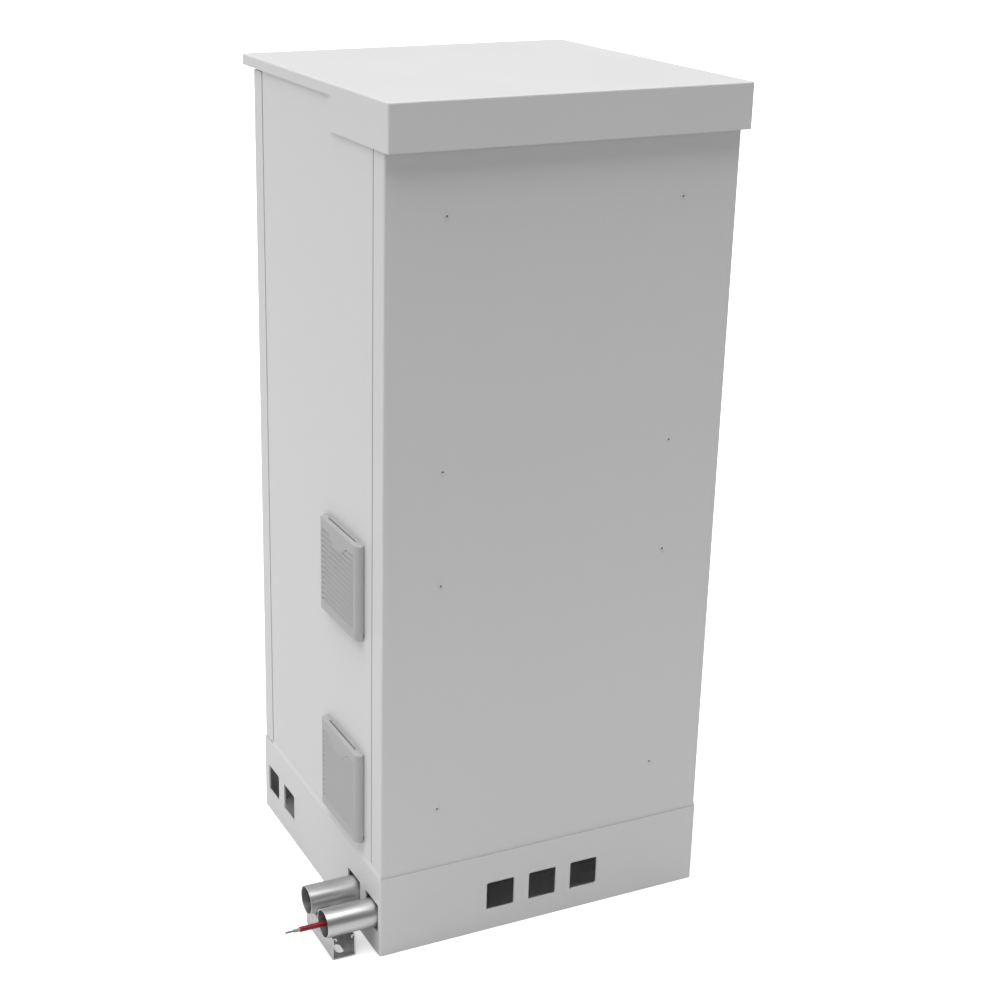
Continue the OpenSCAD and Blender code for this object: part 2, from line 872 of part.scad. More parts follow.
module door_handle() {
    hub_back = y_front - handle_plate_t - slide_gap;
    hub_front = hub_back - hub_t;
    color(black) at_spindle() difference() {
        union() {
            bar_y(hub_front, hub_back, hub_r);
            bar_y(hub_back - eps, cam_y - square_back, spindle_r);
            draw_y(cam_y - square_back - eps, cam_y + cam_t + cam_nut_t) square(square_w, center = true);
            draw_y(hub_front, hub_front + lever_t) {
                polygon([[-hub_r, 0], [hub_r, 0], [lever_r, -lever_len], [-lever_r, -lever_len]]);
                translate([0, -lever_len]) circle(lever_r);
            }
        }
        bar_y(hub_front - eps, hub_front + barrel_depth, barrel_r + run_gap);
    }
}

module lock_barrel() {
    hub_front = y_front - handle_plate_t - slide_gap - hub_t;
    color("silver") at_spindle() difference() {
        bar_y(hub_front - barrel_proud, hub_front + barrel_depth - slide_gap, barrel_r);
        draw_y(hub_front - barrel_proud - eps, hub_front - barrel_proud + key_depth)
            square([key_w, key_h], center = true);
    }
}

module latch_cam() {
    tip_z = cam_reach - cam_tip_r;
    color(zinc) at_spindle() draw_y(cam_y, cam_y + cam_t) difference() {
        union() {
            circle(cam_tail_r);
            polygon([[-cam_tail_r, 0], [cam_tail_r, 0], [cam_tip_r, tip_z], [-cam_tip_r, tip_z]]);
            translate([0, tip_z]) circle(cam_tip_r);
        }
        square(square_w + 2 * run_gap, center = true);
    }
}

module cam_nut() {
    color(zinc) at_spindle() difference() {
        hex_y(cam_y + cam_t, cam_y + cam_t + cam_nut_t, cam_nut_r);
        draw_y(cam_y + cam_t - eps, cam_y + cam_t + cam_nut_t + eps)
            square(square_w + 2 * run_gap, center = true);
    }
}

// Filter units

// Places children in the frame of the lower filter (0) or the upper one (1)
module at_filter(i) {
    translate([half_w, filter_y, filter_zs[i]]) children();
}

// Places children at each of the fan's screws
module fan_points() {
    for (sy = [-1, 1], sz = [-1, 1]) {
        translate([0, sy * fan_hole_pitch / 2, sz * fan_hole_pitch / 2]) children();
    }
}

// Hinge ear of the base frame, in X-Z
module ear_shape() {
    translate([0, pivot_z - ear_r]) square([pivot_x, ear_r + base_over + base_t]);
    translate([pivot_x, pivot_z]) circle(ear_r);
}

// Snap wedge on the collar's upper side, in X-Z, behind a panel of the sheet's thickness
module clip_shape() {
    polygon([[-sheet - slide_gap, 0], [-sheet - slide_gap, clip_h], [-sheet - slide_gap - clip_len, 0]]);
}

module filter_frame() {
    rim = filter_half - base_inset;
    inner = collar_half - collar_t;
    hole_mid = fan_hole_pitch / 2;
    grid_x1 = grid_t - collar_depth;
    difference() {
        union() {
            draw_x(0, base_t) round_rect([-rim, base_low], [rim, rim], base_corner_r);
            draw_x(-collar_depth, eps)
                round_rect([-collar_half, -collar_half], [collar_half, collar_half], collar_corner_r);
            for (sy = [-1, 1]) {
                draw_y(sy * ear_y - ear_w / 2, sy * ear_y + ear_w / 2) ear_shape();
                for (turn = [0, 180]) {
                    rotate([turn, 0, 0]) draw_y(sy * clip_y - clip_w / 2, sy * clip_y + clip_w / 2)
                        translate([0, collar_half - eps]) clip_shape();
                }
            }
        }
        difference() {
            box([-collar_depth - eps, -inner, -inner], [base_t + eps, inner, inner]);
            draw_x(-collar_depth, grid_x1) {
                for (a = [-1.5 : 1 : 1.5]) {
                    translate([a * grid_pitch, 0]) square([grid_bar, cutout_w], center = true);
                    translate([0, a * grid_pitch]) square([cutout_w, grid_bar], center = true);
                }
                for (sy = [-1, 1], sz = [-1, 1]) {
                    translate([sy * hole_mid, sz * hole_mid]) square(2 * gusset, center = true);
                }
            }
        }
        fan_points() bar_x(-collar_depth - eps, grid_x1 + eps, fan_screw_r + run_gap);
        translate([pivot_x, 0, pivot_z]) bar_y(-ear_y - ear_w, ear_y + ear_w, trunnion_r + run_gap);
    }
}

// Cover's pillow form shrunk by g on its outside faces, from x0 outwards
module cover_block(g, x0) {
    h = filter_half - g;
    x1 = filter_proud - g;
    side_r = cover_side_r - g;
    intersection() {
        raise_z(-h, h) nose_rect([x0, -h], [x1, h], side_r);
        draw_y(-h, h) union() {
            intersection() {
                nose_rect([x0, -h], [x1, h], cover_top_r - g);
                translate([x0, 0]) square([x1 - x0, h]);
            }
            translate([x0, -h]) square([x1 - x0, h + eps]);
        }
    }
}

// Plain tongue in the middle of the cover's top, in Y-Z, grown by g
module tongue_shape(g) {
    polygon([
        [-tongue_top - g, window_z1 + 1], [tongue_top + g, window_z1 + 1],
        [tongue_low + g, window_z1 - tongue_drop - g], [-tongue_low - g, window_z1 - tongue_drop - g]
    ]);
}

// One louvre blade's section in X-Z, a lapped board sloping down and out to z
module blade_shape(z) {
    x1 = filter_proud + blade_proud;
    x0 = x1 - blade_run;
    top = z + blade_pitch + blade_lap;
    polygon([[x1, z], [x0, top], [x0 - blade_t, top], [x1 - blade_t, z]]);
}

module louvre_blades() {
    count = floor((window_z1 - window_z0) / blade_pitch);
    difference() {
        intersection() {
            union() {
                for (i = [0 : count - 1]) {
                    draw_y(-window_y - eps, window_y + eps)
                        blade_shape(window_z0 + blade_first + i * blade_pitch);
                }
            }
            box([0, -filter_half, -filter_half], [2 * filter_proud, filter_half, window_z1]);
        }
        draw_x(0, 2 * filter_proud) tongue_shape(tongue_gap);
    }
}

module filter_cover() {
    rib_x1 = filter_proud + blade_proud - blade_run;
    difference() {
        union() {
            difference() {
                cover_block(0, cover_x0);
                cover_block(cover_wall, cover_x0 - eps);
                difference() {
                    box([cover_x0, -window_y, window_z0], [2 * filter_proud, window_y, window_z1]);
                    draw_x(0, 2 * filter_proud) tongue_shape(0);
                }
            }
            louvre_blades();
            for (sy = [-1, 1]) {
                box([rib_x1 - rib_depth, sy * rib_y - rib_t / 2, window_z0 - rib_t],
                    [rib_x1, sy * rib_y + rib_t / 2, window_z1 + rib_t]);
                for (side = [-1, 1]) {
                    y_in = sy * ear_y + side * (ear_w / 2 + cheek_gap);
                    y_out = y_in + side * cheek_w;
                    box([cover_x0 + cheek_back, min(y_in, y_out), -filter_half + cover_wall / 2],
                        [filter_proud - cover_wall / 2, max(y_in, y_out), pivot_z + cheek_top]);
                }
                translate([pivot_x, sy * ear_y, pivot_z]) bar_y(-pin_half, pin_half, trunnion_r);
            }
        }
        for (sy = [-1, 1]) {
            box([0, sy * ear_y - ear_w / 2 - cheek_gap, -filter_half - eps],
                [pivot_x + notch_over, sy * ear_y + ear_w / 2 + cheek_gap, -filter_half + cover_wall + eps]);
        }
        box([0, -finger_y, filter_half - cover_top_r],
            [cover_x0 + finger_depth, finger_y, filter_half + eps]);
    }
}

module filter_mat() {
    half = collar_half - collar_t - mat_gap;
    box([-collar_depth + grid_t + mat_gap, -half, -half], [-mat_front, half, half]);
}

module lower_filter_frame() {
    color(plastic) at_filter(0) filter_frame();
}
module lower_filter_cover() {
    color(plastic) at_filter(0) filter_cover();
}
module lower_filter_mat() {
    color("white") at_filter(0) filter_mat();
}
module upper_filter_frame() {
    color(plastic) at_filter(1) filter_frame();
}
module upper_filter_cover() {
    color(plastic) at_filter(1) filter_cover();
}
module upper_filter_mat() {
    color("white") at_filter(1) filter_mat();
}

// Fan

// Square duct of the fan, in Y-Z, with its screw holes
module fan_duct_shape() {
    half = fan_w / 2;
    mid = fan_hole_pitch / 2;
    difference() {
        round_rect([-half, -half], [half, half], fan_corner_r);
        circle(fan_r);
        for (sy = [-1, 1], sz = [-1, 1]) {
            translate([sy * mid, sz * mid]) circle(fan_screw_r + hole_gap);
        }
    }
}

// Struts that carry the motor, in Y-Z
module fan_spider_shape() {
    for (i = [0 : strut_count - 1]) {
        rotate(strut_first + i * 360 / strut_count) translate([0, -strut_w / 2])
            square([fan_r + fan_wall / 2, strut_w]);
    }
}

module fan_housing() {
    color(black) at_filter(0) difference() {
        union() {
            draw_x(fan_x0, fan_x1) fan_duct_shape();
            draw_x(fan_x0 + strut_back, fan_x0 + strut_back + strut_t) fan_spider_shape();
            bar_x(fan_x0, fan_x0 + motor_len, motor_r);
        }
        bar_x(fan_x0 + motor_len - shaft_len, fan_x0 + motor_len + eps, shaft_r + run_gap);
    }
}

// Cambered blade section, its chord along the first axis
module fan_blade_shape() {
    rotate(blade_angle) translate([0, -blade_curve_r]) intersection() {
        difference() {
            circle(blade_curve_r + fan_blade_t / 2);
            circle(blade_curve_r - fan_blade_t / 2);
        }
        translate([-blade_chord / 2, 0]) square([blade_chord, 2 * blade_curve_r]);
    }
}

module fan_impeller() {
    mid = impeller_x0 + impeller_len / 2;
    color(black) at_filter(0) {
        difference() {
            bar_x(impeller_x0, impeller_x0 + impeller_len, motor_r);
            bar_x(impeller_x0 + hub_cap, impeller_x0 + impeller_len + eps, motor_r - hub_wall);
        }
        bar_x(impeller_x0 - shaft_len + shaft_short, impeller_x0 + eps, shaft_r);
        intersection() {
            bar_x(impeller_x0, impeller_x0 + impeller_len, fan_r - tip_gap);
            for (i = [0 : blade_count - 1]) {
                rotate([i * 360 / blade_count, 0, 0]) translate([mid, 0, motor_r - blade_root])
                    linear_extrude(fan_r) fan_blade_shape();
            }
        }
    }
}

module fan_guard() {
    mid = fan_hole_pitch / 2;
    color("silver") at_filter(0) draw_x(fan_x0 - guard_t, fan_x0) difference() {
        union() {
            for (r = guard_rings) {
                difference() {
                    circle(r + guard_w / 2);
                    circle(r - guard_w / 2);
                }
            }
            for (a = [45 : 90 : 315]) {
                rotate(a) translate([guard_rings[0], -guard_w / 2])
                    square([mid * sqrt(2) - guard_rings[0], guard_w]);
            }
            for (sy = [-1, 1], sz = [-1, 1]) {
                translate([sy * mid, sz * mid]) circle(eye_r);
            }
        }
        for (sy = [-1, 1], sz = [-1, 1]) {
            translate([sy * mid, sz * mid]) circle(fan_screw_r + hole_gap);
        }
    }
}

module fan_screws() {
    head_x = fan_x0 - guard_t;
    color(zinc) at_filter(0) fan_points() {
        bar_x(head_x - fan_head_h, head_x, fan_head_r);
        bar_x(head_x - eps, grid_t - collar_depth, fan_screw_r);
    }
}

// Mounting plates

module mounting_plate(i) {
    z0 = plate_zs[i];
    mid = z0 + plate_pitch_z / 2;
    color(zinc) difference() {
        draw_y(plate_y0, plate_y1) round_rect(
            [-plate_half_x, z0 - plate_edge],
            [plate_half_x, z0 + plate_pitch_z + plate_edge], plate_corner_r);
        plate_points() bar_y(plate_y0 - eps, plate_y1 + eps, m6_r + hole_gap);
        for (sx = [-1, 1], sz = [-1, 1]) {
            translate([sx * plate_hole_pitch / 2, 0, mid + sz * plate_hole_pitch / 2])
                bar_y(plate_y0 - eps, plate_y1 + eps, m6_r + hole_gap);
        }
    }
}

module lower_mounting_plate() {
    mounting_plate(0);
}
module upper_mounting_plate() {
    mounting_plate(1);
}

module plate_spacers() {
    color(zinc) plate_points() difference() {
        bar_y(plate_y1, y_rear - sheet, plate_spacer_r);
        bar_y(plate_y1 - eps, y_rear - sheet + eps, m6_r + hole_gap);
    }
}

module plate_screws() {
    color(paint) plate_points() difference() {
        union() {
            bar_y(y_rear, y_rear + plate_screw_head_h, plate_screw_head_r);
            bar_y(plate_y0 - m6_nut_h - bolt_tail, y_rear + eps, m6_r);
        }
        hex_y(y_rear + plate_screw_head_h - socket_depth, y_rear + plate_screw_head_h + eps, socket_r);
    }
}

module plate_nuts() {
    color(zinc) plate_points() difference() {
        hex_y(plate_y0 - m6_nut_h, plate_y0, m6_head_r);
        bar_y(plate_y0 - m6_nut_h - eps, plate_y0 + eps, m6_r + run_gap);
    }
}

// Conduits, channel and cable

module conduit(y) {
    color("silver") translate([0, y, conduit_z]) difference() {
        bar_x(conduit_x0, conduit_x1, conduit_r);
        bar_x(conduit_x0 - eps, conduit_x1 + eps, conduit_r - conduit_t);
    }
}

module front_conduit() {
    conduit(conduit_ys[0]);
}
module rear_conduit() {
    conduit(conduit_ys[1]);
}

// Curled lip of the channel in X-Z, at its low x side: a half ring with a tail down into the channel
module lip_shape() {
    lip_r = channel_lip / 2;
    translate([lip_r, channel_w - lip_r]) intersection() {
        difference() {
            circle(lip_r);
            circle(lip_r - channel_t);
        }
        translate([-lip_r, 0]) square([channel_lip, lip_r]);
    }
    translate([channel_lip - channel_t, channel_w - channel_curl])
        square([channel_t, channel_curl - lip_r + eps]);
}

// C section of the channel in X-Z
module channel_shape() {
    wall_top = channel_w - channel_lip / 2;
    difference() {
        round_rect([0, 0], [channel_w, channel_w], channel_t + channel_in_r);
        round_rect([channel_t, channel_t], [channel_w - channel_t, 2 * channel_w], channel_in_r);
        translate([-eps, wall_top + eps]) square([channel_w + 2 * eps, channel_w]);
    }
    lip_shape();
    translate([channel_w, 0]) mirror([1, 0]) lip_shape();
}

module slotted_channel() {
    y0 = channel_y1 - channel_len;
    slots = floor((channel_len - slot_first - slot_len / 2) / slot_pitch);
    color(zinc) translate([channel_x0, 0, 0]) difference() {
        draw_y(y0, channel_y1) channel_shape();
        for (i = [0 : slots]) {
            slot_y = channel_y1 - slot_first - i * slot_pitch;
            raise_z(-eps, channel_t + eps) translate([channel_w / 2, slot_y])
                round_rect([-slot_w / 2, -slot_len / 2], [slot_w / 2, slot_len / 2], slot_w / 2 - eps);
        }
    }
}

module duct_bung() {
    color(rubber) translate([0, conduit_ys[1], conduit_z]) difference() {
        union() {
            bar_x(conduit_x0 - eps, conduit_x0 + bung_len, conduit_r - conduit_t - run_gap);
            bar_x(conduit_x0 - bung_rim, conduit_x0, conduit_r);
        }
        bar_x(conduit_x0 - bung_rim - eps, conduit_x0 + bung_len + eps, sheath_r + run_gap);
    }
}

// Round layer along the cable: straight in, a level bend to the front, a bend up, and up to z1
module cable_path(r, x1, z1) {
    y_in = conduit_ys[1];
    y_mid = y_in - cable_bend_r;
    y_up = cable_up_y + cable_bend_r;
    translate([0, y_in, conduit_z]) bar_x(cable_turn_x + cable_bend_r, x1, r);
    translate([cable_turn_x + cable_bend_r, y_mid, conduit_z]) rotate(90) rotate_extrude(angle = 90)
        translate([cable_bend_r, 0]) circle(r);
    translate([cable_turn_x, 0, conduit_z]) bar_y(y_up, y_mid, r);
    translate([cable_turn_x, y_up, conduit_z + cable_bend_r]) rotate([0, 90, 0]) rotate([0, 0, -90])
        rotate_extrude(angle = 90) translate([cable_bend_r, 0]) circle(r);
    translate([cable_turn_x, cable_up_y, 0]) bar_z(conduit_z + cable_bend_r, z1, r);
}

module cable_sheath() {
    x1 = conduit_x1 + sheath_out;
    color("firebrick") difference() {
        cable_path(sheath_r, x1, cable_top);
        cable_path(insulation_r + run_gap, x1 + 1, cable_top + 1);
    }
}

module cable_insulation() {
    x1 = conduit_x1 + sheath_out + insulation_out;
    z1 = cable_top + insulation_out;
    color("gainsboro") difference() {
        cable_path(insulation_r, x1, z1);
        cable_path(core_r + run_gap, x1 + 1, z1 + 1);
    }
}

module cable_core() {
    color("dimgray") cable_path(
        core_r, conduit_x1 + sheath_out + insulation_out + core_out, cable_top + insulation_out + core_out);
}

module cable_gland() {
    z0 = base_plate_top;
    color(black) translate([cable_turn_x, cable_up_y, 0]) difference() {
        union() {
            bar_z(base_plate_z - gland_thread, z0 + eps, gland_r);
            hex_z(z0, z0 + gland_hex_h, gland_hex_r);
            bar_z(z0 + gland_hex_h - eps, z0 + gland_hex_h + gland_cap_h, gland_cap_r);
        }
        bar_z(base_plate_z - gland_thread - eps, z0 + gland_hex_h + gland_cap_h + eps, sheath_r + run_gap);
    }
}

module gland_nut() {
    color(black) translate([cable_turn_x, cable_up_y, 0]) difference() {
        hex_z(base_plate_z - gland_nut_h, base_plate_z, gland_hex_r);
        bar_z(base_plate_z - gland_nut_h - eps, base_plate_z + eps, gland_r + run_gap);
    }
}

module blanking_plugs() {
    color(black) for (x = plug_xs) {
        translate([x, plug_y, 0]) {
            bar_z(base_plate_z - plug_depth, base_plate_top + eps, plug_r);
            bar_z(base_plate_top, base_plate_top + plug_rim_t, plug_rim_r);
        }
    }
}

// Earth bar

module earth_bar() {
    z0 = base_plate_top + earth_post_h;
    color("peru") difference() {
        box([earth_x - earth_len / 2, earth_y - earth_w / 2, z0],
            [earth_x + earth_len / 2, earth_y + earth_w / 2, z0 + earth_t]);
        for (sx = [-1, 1]) {
            translate([earth_x + sx * earth_end, earth_y, 0])
                bar_z(z0 - eps, z0 + earth_t + eps, m6_r + run_gap);
        }
    }
}

module earth_posts() {
    z1 = base_plate_top + earth_post_h;
    color("indianred") for (sx = [-1, 1]) {
        translate([earth_x + sx * earth_end, earth_y, 0]) {
            bar_z(base_plate_top, z1, earth_post_r);
            bar_z(z1 - eps, z1 + earth_t + earth_stud, m6_r);
            hex_z(z1 + earth_t, z1 + earth_t + m6_nut_h, m6_head_r);
            bar_z(base_plate_z, base_plate_top + eps, m6_r - run_gap);
        }
    }
}

module earth_screws() {
    z0 = base_plate_top + earth_post_h + earth_t;
    pitch = (earth_len - 2 * earth_w) / (earth_screw_count + 1);
    color(zinc) for (i = [1 : earth_screw_count]) {
        translate([earth_x - earth_len / 2 + earth_w + i * pitch, earth_y, 0])
            hex_z(z0, z0 + m6_head_h, m6_head_r);
    }
}

plinth();
base_plate();
rear_panel();
left_panel();
right_panel();
seam_strips();
top_plate();
front_frame();
hood();
hood_spacers();
hood_nuts();
rear_seam_bolts();
front_frame_bolts();
top_plate_bolts();
plinth_bolts();
door();
door_seal();
hinge_frame_leaves();
hinge_door_leaves();
hinge_pins();
handle_plate();
handle_nut();
door_handle();
lock_barrel();
latch_cam();
cam_nut();
lower_filter_frame();
lower_filter_cover();
lower_filter_mat();
upper_filter_frame();
upper_filter_cover();
upper_filter_mat();
fan_housing();
fan_impeller();
fan_guard();
fan_screws();
lower_mounting_plate();
upper_mounting_plate();
plate_spacers();
plate_screws();
plate_nuts();
front_conduit();
rear_conduit();
slotted_channel();
duct_bung();
cable_sheath();
cable_insulation();
cable_core();
cable_gland();
gland_nut();
blanking_plugs();
earth_bar();
earth_posts();
earth_screws();
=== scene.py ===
"""Roadside utility cabinet: finishes, small details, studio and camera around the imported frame."""
import json
import math

import bmesh
import bpy
from mathutils import Matrix, Vector


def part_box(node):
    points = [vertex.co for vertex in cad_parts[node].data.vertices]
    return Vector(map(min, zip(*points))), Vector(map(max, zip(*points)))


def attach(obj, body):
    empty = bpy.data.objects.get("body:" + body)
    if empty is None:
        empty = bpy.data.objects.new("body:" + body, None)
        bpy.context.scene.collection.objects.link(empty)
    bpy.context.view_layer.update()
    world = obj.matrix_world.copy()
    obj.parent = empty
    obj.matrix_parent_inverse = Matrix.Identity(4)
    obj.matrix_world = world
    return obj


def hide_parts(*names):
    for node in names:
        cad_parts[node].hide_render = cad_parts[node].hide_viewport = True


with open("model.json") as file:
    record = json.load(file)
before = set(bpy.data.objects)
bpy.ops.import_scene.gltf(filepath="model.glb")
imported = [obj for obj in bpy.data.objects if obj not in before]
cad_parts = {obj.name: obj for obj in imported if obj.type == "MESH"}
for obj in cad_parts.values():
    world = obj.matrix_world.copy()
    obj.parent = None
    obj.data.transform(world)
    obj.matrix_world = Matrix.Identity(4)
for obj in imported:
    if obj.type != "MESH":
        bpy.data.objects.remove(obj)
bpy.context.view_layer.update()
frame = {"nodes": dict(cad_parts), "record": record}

# Lengths are in metres and angles in degrees, unless a name or a comment says otherwise.

# Camera, fitted to the straight edges of the photograph
CAMERA_PLACE = (1.3259, 2.6007, 1.7693)
CAMERA_AZIMUTH = 155.666
CAMERA_ELEVATION = 19.602
CAMERA_ROLL = -0.482
CAMERA_LENS_MM = 65.095
CAMERA_SHIFT = (0.1, -0.035)
CAMERA_FAR = 200.0

# Studio floor: what the camera sees, and what it throws back near the cabinet and far behind it
FLOOR_HALF = 30.0
FLOOR_DROP = 0.0004
FLOOR_SEEN = 0.95
FLOOR_CLOUD = 0.01
FLOOR_GLOW = 0.35
FLOOR_BOUNCE = (0.74, 0.32)
FLOOR_FADE = (0.3, 4.0)

# Light: a sky that is brighter on the filter side, and one soft key from above
SKY_STRENGTH = 0.14
SKY_SIDE = 0.30
SKY_SEEN = 1.0
KEY_DIRECTION = (0.12, 0.0, 1.0)
KEY_STRENGTH = 3.95
KEY_SPREAD = 72.0

# Colours, some as a dark and a light one
ROAD_DUST = (0.46, 0.44, 0.40, 1.0)
SHEATH_RED = ((0.17, 0.002, 0.006, 1.0), (0.28, 0.005, 0.011, 1.0))
COPPER = ((0.52, 0.25, 0.13, 1.0), (0.74, 0.40, 0.24, 1.0))
TARNISH = (0.20, 0.10, 0.06, 1.0)
POST_RED = ((0.22, 0.03, 0.02, 1.0), (0.30, 0.05, 0.03, 1.0))

# Filter covers: depths from the panel's face, heights and half widths from the cover's middle
COVER_HALF = 0.080
COVER_BACK = 0.0028
COVER_FACE = 0.014
COVER_ROUND = 0.011
CROWN_LOW = 0.070
CROWN_HIGH = 0.0822
CROWN_ROUND = 0.0022
CROWN_SEGMENTS = 4
SLOT_BACK = 0.0044
SLOT_FRONT = 0.0070
SLOT_HALF = 0.056
SLOT_FLOOR = 0.071
SLOT_TOP = 0.160
WINDOW_HALF = 0.066
WINDOW_LOW = -0.066
WINDOW_HIGH = 0.063
FILL_BACK = 0.0075
FILL_FRONT = 0.0137
RAMP_RUN = 0.010
LAND = 0.0012
TONGUE_HALVES = (0.0165, 0.0365)
TONGUE_LOW = 0.0475

# Upper lips of the filter frames
LIP_INSET = 0.0015
LIP_DEPTH = 0.0023

# Joint of body and plinth; TUCK is how far a strip reaches into the sheet behind it
LEDGE_STRIP_W = 0.0019
SHADE_STRIP_H = 0.0006
FILLET_H = 0.008
TUCK = 0.0005
CORNER_R = 0.003

# Beads in the rear seams, beyond the strips on both sides
BEAD_PROUD = 0.0010

# Strands of the bare core; STRAND_LAY is the length of one full twist
STRANDS = 10
STRAND_R = 0.00042
STRAND_LAY = 0.030
STRAND_LEN = 0.0138
STRAND_STEPS = 12
STRAND_SIDES = 8

# Meshing
ARC_STEPS = 6
QUARTER_TURN = [math.radians(90.0 * step / ARC_STEPS) for step in range(ARC_STEPS + 1)]
SHARP_EDGE = math.radians(20.0)
TOUCH = 1e-6


def add(tree, kind, inputs=None, **settings):
    """Adds a shader node, sets its settings, and fills its inputs with values or links."""
    made = tree.nodes.new("ShaderNode" + kind)
    for name, value in settings.items():
        setattr(made, name, value)
    for key, value in (inputs or {}).items():
        socket = made.inputs[key]
        if isinstance(value, bpy.types.NodeSocket):
            tree.links.new(value, socket)
        else:
            socket.default_value = value
    return made


def calc(tree, operation, first, second):
    """Joins two numbers by an operation."""
    return add(tree, "Math", {0: first, 1: second}, operation=operation).outputs[0]


def calc_vector(tree, operation, first, second):
    """Joins two vectors by an operation."""
    return add(tree, "VectorMath", {0: first, 1: second}, operation=operation).outputs[0]


def mix_value(tree, amount, first, second):
    """Blends two numbers by a mask; sockets 2 and 3 are the node's number inputs."""
    return add(tree, "Mix", {0: amount, 2: first, 3: second}).outputs[0]


def mix_color(tree, amount, dark, light):
    """Blends two colours by a mask; sockets 6 and 7 are the node's colour inputs."""
    return add(tree, "Mix", {0: amount, 6: dark, 7: light}, data_type="RGBA").outputs[2]


def spread(tree, value, low, high, from_low=0.0, from_high=1.0):
    """Maps a mask to a range."""
    return add(tree, "MapRange", {"Value": value, "From Min": from_low, "From Max": from_high,
                                  "To Min": low, "To Max": high}).outputs["Result"]


def scale_for(tree, size):
    """Turns a size in metres into the scale of a texture."""
    return calc(tree, "DIVIDE", 1.0, size)


def noise(tree, place, scale, detail, roughness=0.5):
    """Adds a cloudy texture and returns its outputs."""
    return add(tree, "TexNoise", {"Vector": place, "Scale": scale, "Detail": detail,
                                  "Roughness": roughness}).outputs


def start_group(name, inputs, outputs):
    """Makes a shader group; inputs are names with values, outputs are names of number sockets."""
    tree = bpy.data.node_groups.new(name, "ShaderNodeTree")
    for label, value in inputs.items():
        kind = "NodeSocketVector" if isinstance(value, tuple) else "NodeSocketFloat"
        tree.interface.new_socket(label, in_out="INPUT", socket_type=kind).default_value = value
    for label in outputs:
        tree.interface.new_socket(label, in_out="OUTPUT", socket_type="NodeSocketFloat")
    given = tree.nodes.new("NodeGroupInput").outputs
    result = tree.nodes.new("NodeGroupOutput").inputs
    place = add(tree, "TexCoord").outputs["Object"]
    return tree, given, result, place


def grain_group():
    """Fine surface grain of a given size in metres: a height and a broader cloudy tint."""
    tree, given, result, place = start_group(
        "surface_grain", {"Size": 0.001, "Cloud Size": 0.2}, ["Height", "Cloud"])
    fine = noise(tree, place, scale_for(tree, given["Size"]), detail=3.0, roughness=0.55)
    cloud = noise(tree, place, scale_for(tree, given["Cloud Size"]), detail=4.0, roughness=0.6)
    tree.links.new(fine["Fac"], result["Height"])
    tree.links.new(cloud["Fac"], result["Cloud"])
    return tree


def dust_group():
    """Road dust that fades out above the ground, with faint rain runs higher up."""
    tree, given, result, place = start_group(
        "road_dust", {"Reach": 0.3, "Run Width": 0.03}, ["Splash", "Runs"])
    height = add(tree, "SeparateXYZ", {"Vector": place}).outputs["Z"]
    fade = add(tree, "MapRange", {"Value": height, "From Min": 0.0, "From Max": given["Reach"],
                                  "To Min": 1.0, "To Max": 0.0},
               interpolation_type="SMOOTHSTEP").outputs["Result"]
    specks = noise(tree, place, scale=26.0, detail=5.0, roughness=0.65)
    drawn_out = add(tree, "Mapping", {"Vector": place, "Scale": (1.0, 1.0, 0.03)}).outputs[0]
    streaks = noise(tree, drawn_out, scale_for(tree, given["Run Width"]), detail=3.0)
    runs = spread(tree, streaks["Fac"], 0.0, 1.0, from_low=0.52, from_high=0.8)
    tree.links.new(calc(tree, "MULTIPLY", fade, specks["Fac"]), result["Splash"])
    tree.links.new(runs, result["Runs"])
    return tree


def spangle_group():
    """Crystal flowers of hot-dip zinc: flat cells with their own tone and faint edges."""
    tree, given, result, place = start_group("zinc_spangle", {"Size": 0.008}, ["Tone", "Height"])
    ripple = noise(tree, place, scale=90.0, detail=2.0)
    bend = calc_vector(tree, "MULTIPLY", ripple["Color"], (0.004, 0.004, 0.004))
    bent = calc_vector(tree, "ADD", place, bend)
    cells = add(tree, "TexVoronoi", {"Vector": bent, "Scale": scale_for(tree, given["Size"])})
    tone = add(tree, "SeparateColor", {"Color": cells.outputs["Color"]}).outputs["Red"]
    tree.links.new(tone, result["Tone"])
    tree.links.new(cells.outputs["Distance"], result["Height"])
    return tree


def drawn_group():
    """Fine lines from drawing or brushing, and patches; Stretch is small along the lines."""
    tree, given, result, place = start_group(
        "drawn_lines", {"Stretch": (0.02, 1.0, 1.0), "Width": 0.0008}, ["Lines", "Patches"])
    stretched = calc_vector(tree, "MULTIPLY", place, given["Stretch"])
    lines = noise(tree, stretched, scale_for(tree, given["Width"]), detail=3.0, roughness=0.6)
    patches = noise(tree, place, scale=45.0, detail=4.0, roughness=0.6)
    tree.links.new(lines["Fac"], result["Lines"])
    tree.links.new(patches["Fac"], result["Patches"])
    return tree


GRAIN = grain_group()
DUST = dust_group()
SPANGLE = spangle_group()
DRAWN = drawn_group()


def use_group(tree, group, **values):
    """Places a group in a material; underscores in the value names stand for spaces."""
    made = tree.nodes.new("ShaderNodeGroup")
    made.node_tree = group
    for name, value in values.items():
        made.inputs[name.replace("_", " ").title()].default_value = value
    return made.outputs


def finish_material(name, **sockets):
    """Starts a Principled material with plain values; returns it with its tree and shader."""
    material = bpy.data.materials.new(name)
    material.use_nodes = True
    tree = material.node_tree
    shader = tree.nodes["Principled BSDF"]
    for label, value in sockets.items():
        shader.inputs[label.replace("_", " ")].default_value = value
    return material, tree, shader


def set_color(tree, shader, color):
    """Feeds a colour into the shader."""
    tree.links.new(color, shader.inputs["Base Color"])


def set_roughness(tree, shader, mask, low, high, **source):
    """Feeds a mask into the shader's roughness, mapped to a range."""
    tree.links.new(spread(tree, mask, low, high, **source), shader.inputs["Roughness"])


